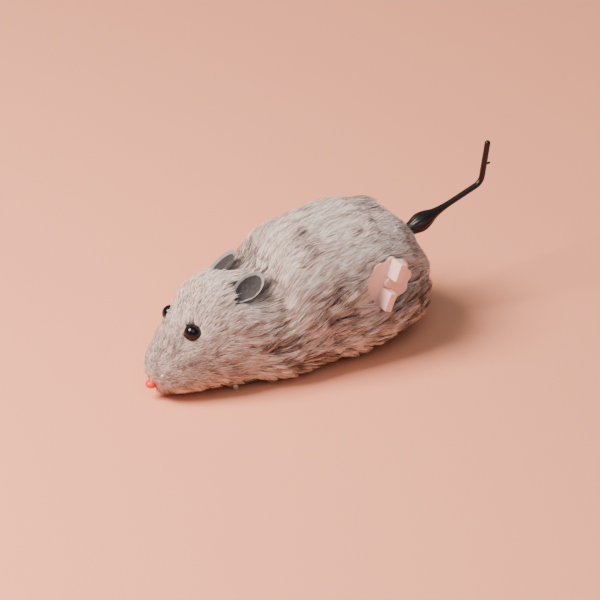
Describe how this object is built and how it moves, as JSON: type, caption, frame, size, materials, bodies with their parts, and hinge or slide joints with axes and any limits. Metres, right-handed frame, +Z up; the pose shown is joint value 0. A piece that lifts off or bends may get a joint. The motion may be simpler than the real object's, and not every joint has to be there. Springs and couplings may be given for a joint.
{
  "type": "wind-up toy mouse",
  "caption": "Clockwork plush mouse: grey fur body on driven wheels, winding key on its left flank, black spinning tail, felt ears and bead eyes",
  "frame": {"origin": "on the floor under the middle of the whole toy's bounding box, tail included", "axes": "-Y towards the nose, +X the mouse's own left (key side), +Z up"},
  "size_m": [0.0396, 0.1081, 0.046],
  "materials": {
    "plush": "short-pile plush, cream grey with brown streaks",
    "stuffing": "loose polyester wadding",
    "felt": "pressed grey felt",
    "black_bead": "polished",
    "coral_bead": "moulded, satin",
    "thread": "twisted thread",
    "dark_base": "moulded, fine grain",
    "clear_nylon": "natural nylon",
    "screw_steel": "zinc plated",
    "case_plastic": "moulded, natural white",
    "brass_bush": "turned",
    "spring_steel": "blued strip",
    "key_plastic": "moulded, pale pink",
    "shaft_steel": "drawn",
    "gear_plastic": "moulded acetal",
    "wheel_plastic": "moulded",
    "tyre_rubber": "moulded",
    "tail_plastic": "moulded, glossy black"
  },
  "bodies": {
    "body": {"fur_cover": "plush", "stuffing_head": "stuffing", "stuffing_back": "stuffing", "ear_left": "felt", "ear_right": "felt", "eye_left": "black_bead", "eye_right": "black_bead", "nose_bead": "coral_bead", "whisker_knots": "thread", "base_pan": "dark_base", "glide_feet": "clear_nylon", "pan_screws": "screw_steel", "case_left": "case_plastic", "case_right": "case_plastic", "case_screws": "screw_steel", "mid_plate": "case_plastic", "tail_bush": "brass_bush", "mainspring": "spring_steel"},
    "drive_axle_set": {"drive_axle": "shaft_steel", "axle_pinion": "gear_plastic", "wheel_left": "wheel_plastic", "wheel_right": "wheel_plastic", "tyre_left": "tyre_rubber", "tyre_right": "tyre_rubber"},
    "key_set": {"winding_key": "key_plastic", "winding_arbor": "shaft_steel", "ratchet_wheel": "brass_bush"},
    "great_wheel_set": {"great_wheel": "gear_plastic", "click_spring": "spring_steel"},
    "click_lever": {"click": "brass_bush"},
    "second_wheel_set": {"second_wheel": "gear_plastic", "second_arbor": "shaft_steel"},
    "crown_wheel_set": {"crown_wheel": "gear_plastic", "crown_arbor": "shaft_steel"},
    "tail_set": {"tail": "tail_plastic", "tail_spindle": "shaft_steel", "tail_pinion": "gear_plastic"}
  },
  "joints": [
    {"name": "axle_spin", "type": "hinge", "parent": "body", "child": "drive_axle_set", "pos_m": [0, 0.00691, 0.0065], "axis": [1, 0, 0], "range_deg": [0, 20000]},
    {"name": "key_turn", "type": "hinge", "parent": "body", "child": "key_set", "pos_m": [0, 0.0114, 0.0239], "axis": [1, 0, 0], "range_deg": [0, 1666.68], "deforming": ["mainspring"]},
    {"name": "great_wheel_turn", "type": "hinge", "parent": "body", "child": "great_wheel_set", "pos_m": [0, 0.0114, 0.0239], "axis": [1, 0, 0], "range_deg": [0, 1666.68]},
    {"name": "click_lift", "type": "hinge", "parent": "great_wheel_set", "child": "click_lever", "pos_m": [0, 0.01487, 0.02804], "axis": [1, 0, 0], "range_deg": [0, 10], "stiffness_Nm_per_rad": 0.0002, "deforming": ["click_spring"]},
    {"name": "second_wheel_turn", "type": "hinge", "parent": "body", "child": "second_wheel_set", "pos_m": [0, 0.0084, 0.01436], "axis": [1, 0, 0], "range_deg": [-6666.68, 0]},
    {"name": "crown_wheel_turn", "type": "hinge", "parent": "body", "child": "crown_wheel_set", "pos_m": [0, 0.01284, 0.02102], "axis": [1, 0, 0], "range_deg": [0, 20000.01]},
    {"name": "tail_spin", "type": "hinge", "parent": "body", "child": "tail_set", "pos_m": [0, 0.01284, 0.02102], "axis": [0, 0.9511, 0.309], "range_deg": [0, 40000.01]}
  ],
  "couplings": [
    {"joint": "key_turn", "follows": "axle_spin", "ratio": 0.083333},
    {"joint": "great_wheel_turn", "follows": "axle_spin", "ratio": 0.083333},
    {"joint": "second_wheel_turn", "follows": "axle_spin", "ratio": -0.33333},
    {"joint": "crown_wheel_turn", "follows": "axle_spin", "ratio": 1},
    {"joint": "tail_spin", "follows": "axle_spin", "ratio": 2}
  ]
}
